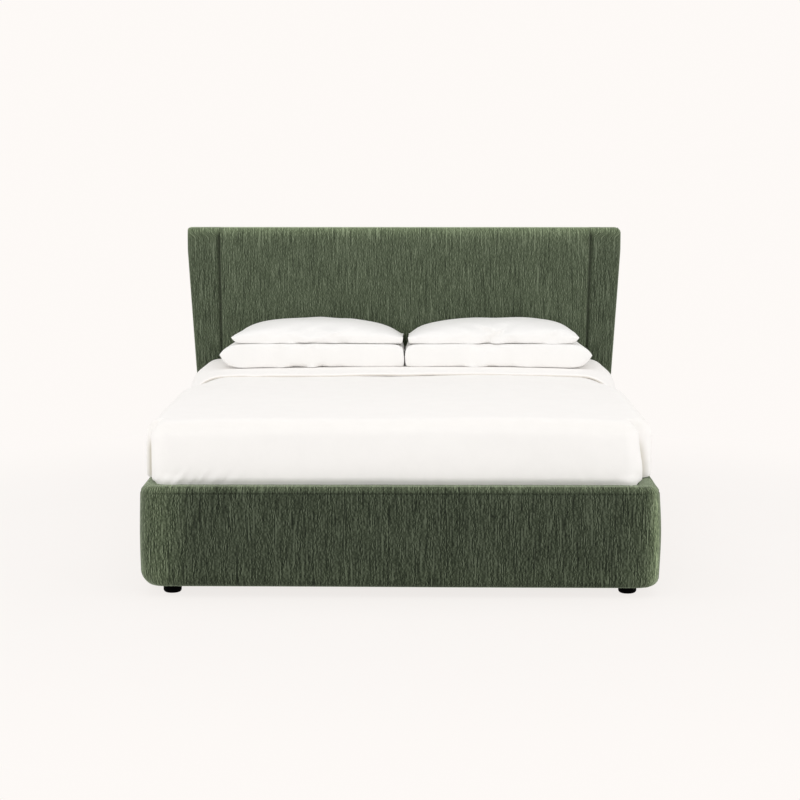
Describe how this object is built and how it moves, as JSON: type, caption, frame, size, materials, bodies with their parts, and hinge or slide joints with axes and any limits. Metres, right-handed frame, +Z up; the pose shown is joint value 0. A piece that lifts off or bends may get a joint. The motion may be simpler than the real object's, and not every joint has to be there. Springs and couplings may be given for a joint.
{
  "type": "upholstered bed",
  "caption": "Double bed upholstered in green chenille: winged headboard, padded rails with rounded foot corners, slatted base, low feet, white bedding.",
  "frame": {"origin": "on the floor, below the middle of the bed's overall width and length", "axes": "+X to the right seen from the foot end, +Y to the head end, +Z up"},
  "size_m": [1.87, 2.235, 1.164],
  "materials": {
    "green_chenille": "dull green chenille with fine slubs",
    "back_cloth": "plain green cloth",
    "frame_timber": "planed softwood",
    "slat_timber": "planed pine",
    "plywood": "sanded plywood",
    "webbing": "woven tape",
    "zinc_steel": "zinc plated",
    "black_paint": "satin black",
    "black_plastic": "matt black",
    "mattress_ticking": "quilted ticking",
    "white_duvet": "washed cotton",
    "white_pillowcase": "washed cotton"
  },
  "bodies": {
    "frame": {"centre_beam": "frame_timber", "foot_rail_board": "frame_timber", "foot_rail_cover": "green_chenille", "foot_studs": "zinc_steel", "frame_bolts": "zinc_steel", "front_beam_hanger": "zinc_steel", "front_centre_leg": "black_paint", "front_left_corner_block": "frame_timber", "front_left_foot": "black_plastic", "front_leg_glide": "black_plastic", "front_right_corner_block": "frame_timber", "front_right_foot": "black_plastic", "headboard_back_panel": "back_cloth", "headboard_bottom_rail": "frame_timber", "headboard_centre_pad": "green_chenille", "headboard_facing": "plywood", "headboard_middle_rail": "frame_timber", "headboard_top_rail": "frame_timber", "left_front_corner_bracket": "zinc_steel", "left_headboard_post": "frame_timber", "left_ledger": "frame_timber", "left_rail_board": "frame_timber", "left_rail_cover": "green_chenille", "left_rear_corner_bracket": "zinc_steel", "left_wing_pad": "green_chenille", "rear_beam_hanger": "zinc_steel", "rear_centre_leg": "black_paint", "rear_left_corner_block": "frame_timber", "rear_left_foot": "black_plastic", "rear_leg_glide": "black_plastic", "rear_right_corner_block": "frame_timber", "rear_right_foot": "black_plastic", "right_front_corner_bracket": "zinc_steel", "right_headboard_post": "frame_timber", "right_ledger": "frame_timber", "right_rail_board": "frame_timber", "right_rail_cover": "green_chenille", "right_rear_corner_bracket": "zinc_steel", "right_wing_pad": "green_chenille", "slat_01": "slat_timber", "slat_02": "slat_timber", "slat_03": "slat_timber", "slat_04": "slat_timber", "slat_05": "slat_timber", "slat_06": "slat_timber", "slat_07": "slat_timber", "slat_08": "slat_timber", "slat_09": "slat_timber", "slat_10": "slat_timber", "slat_11": "slat_timber", "slat_12": "slat_timber", "slat_13": "slat_timber", "slat_webbing": "webbing"},
    "mattress": {"mattress": "mattress_ticking"},
    "duvet": {"duvet": "white_duvet"},
    "lower_left_pillow": {"lower_left_pillow": "white_pillowcase"},
    "lower_right_pillow": {"lower_right_pillow": "white_pillowcase"},
    "upper_left_pillow": {"upper_left_pillow": "white_pillowcase"},
    "upper_right_pillow": {"upper_right_pillow": "white_pillowcase"}
  },
  "joints": [
    {"name": "mattress_lift", "type": "slide", "parent": "frame", "child": "mattress", "axis": [0, 0, 1], "range_m": [0, 0.3]},
    {"name": "duvet_lift", "type": "slide", "parent": "mattress", "child": "duvet", "axis": [0, 0, 1], "range_m": [0, 0.3]},
    {"name": "lower_left_pillow_lift", "type": "slide", "parent": "duvet", "child": "lower_left_pillow", "axis": [0, 0, 1], "range_m": [0, 0.25]},
    {"name": "lower_right_pillow_lift", "type": "slide", "parent": "duvet", "child": "lower_right_pillow", "axis": [0, 0, 1], "range_m": [0, 0.25]},
    {"name": "upper_left_pillow_lift", "type": "slide", "parent": "lower_left_pillow", "child": "upper_left_pillow", "axis": [0, 0, 1], "range_m": [0, 0.25]},
    {"name": "upper_right_pillow_lift", "type": "slide", "parent": "lower_right_pillow", "child": "upper_right_pillow", "axis": [0, 0, 1], "range_m": [0, 0.25]}
  ]
}
